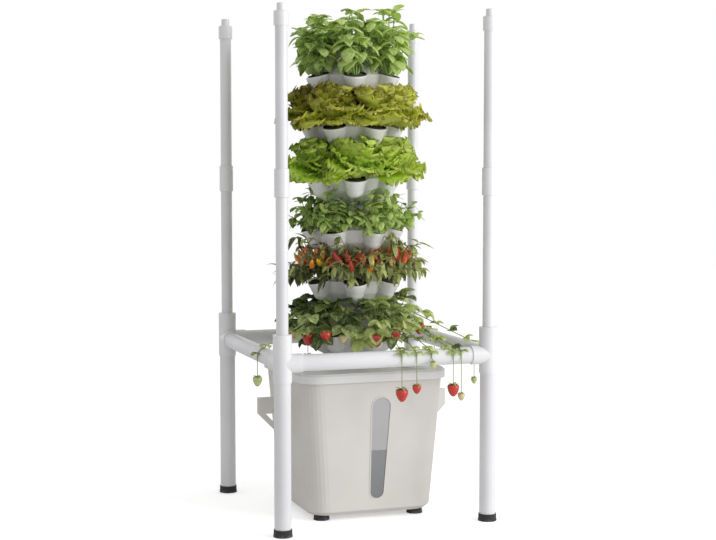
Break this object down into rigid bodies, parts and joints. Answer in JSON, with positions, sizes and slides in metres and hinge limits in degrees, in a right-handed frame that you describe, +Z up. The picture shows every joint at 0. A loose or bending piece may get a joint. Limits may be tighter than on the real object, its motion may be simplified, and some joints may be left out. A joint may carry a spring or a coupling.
{
  "type": "hydroponic tower",
  "caption": "Vertical hydroponic garden: stacked white tiers of planted ports on a water tank with a level window, inside a free-standing pipe frame.",
  "frame": {"origin": "on the floor, on the tower's upright axis, at the middle of the frame's square", "axes": "+Z up along the tower, -Y towards the front with the level window, +X to the right seen from the front"},
  "size_m": [0.7302, 0.7382, 1.5808],
  "materials": {
    "frame_white": "extruded white plastic pipe, satin",
    "fitting_white": "moulded white fittings, soft gloss",
    "pole_white": "slim white plastic pipe, soft gloss",
    "foot_rubber": "black moulded rubber",
    "tank_plastic": "warm white moulded plastic, fine grain",
    "lid_plastic": "white moulded plastic, satin",
    "window_clear": "smoked clear level window",
    "pump_plastic": "black moulded plastic",
    "shaft_steel": "turned steel",
    "pipe_plastic": "white plastic",
    "tower_plastic": "white moulded plastic, soft gloss",
    "cup_plastic": "black net cup plastic",
    "leaf": "living leaves, stems and root plugs",
    "fruit": "ripe and unripe berries on green stems"
  },
  "bodies": {
    "tower": {"leg_front_left": "frame_white", "leg_front_right": "frame_white", "leg_rear_left": "frame_white", "leg_rear_right": "frame_white", "leg_feet": "foot_rubber", "corner_fitting_front_left": "fitting_white", "corner_fitting_front_right": "fitting_white", "corner_fitting_rear_left": "fitting_white", "corner_fitting_rear_right": "fitting_white", "rail_front": "frame_white", "rail_right": "frame_white", "rail_rear": "frame_white", "rail_left": "frame_white", "lower_pole_front_left": "pole_white", "lower_pole_front_right": "pole_white", "lower_pole_rear_left": "pole_white", "lower_pole_rear_right": "pole_white", "pole_couplings": "fitting_white", "upper_pole_front_left": "pole_white", "upper_pole_front_right": "pole_white", "upper_pole_rear_left": "pole_white", "upper_pole_rear_right": "pole_white", "pole_caps": "fitting_white", "tank": "tank_plastic", "tank_feet": "foot_rubber", "tank_lid": "lid_plastic", "level_window": "window_clear", "window_frame": "tank_plastic", "pump_housing": "pump_plastic", "pump_shaft": "shaft_steel", "riser_pipe": "pipe_plastic", "tower_base": "tower_plastic", "tier_1": "tower_plastic", "tier_2": "tower_plastic", "tier_3": "tower_plastic", "tier_4": "tower_plastic", "tier_5": "tower_plastic", "tier_6": "tower_plastic", "net_cups_1": "cup_plastic", "net_cups_2": "cup_plastic", "net_cups_3": "cup_plastic", "net_cups_4": "cup_plastic", "net_cups_5": "cup_plastic", "net_cups_6": "cup_plastic", "plants_1": "leaf", "plants_2": "leaf", "plants_3": "leaf", "plants_4": "leaf", "plants_5": "leaf", "plants_6": "leaf", "hanging_fruit": "fruit", "shower_plate": "pipe_plastic"},
    "fill_cap": {"fill_cap": "lid_plastic"},
    "top_cap": {"top_cap": "tower_plastic"},
    "impeller": {"pump_impeller": "pump_plastic"}
  },
  "joints": [
    {"name": "fill_cap_lift", "type": "slide", "parent": "tower", "child": "fill_cap", "axis": [0, 0, 1], "range_m": [0, 0.08]},
    {"name": "top_cap_lift", "type": "slide", "parent": "tower", "child": "top_cap", "axis": [0, 0, 1], "range_m": [0, 0.12]},
    {"name": "impeller_spin", "type": "hinge", "parent": "tower", "child": "impeller", "pos_m": [0, 0, 0.043], "axis": [0, 0, 1], "continuous": true}
  ]
}
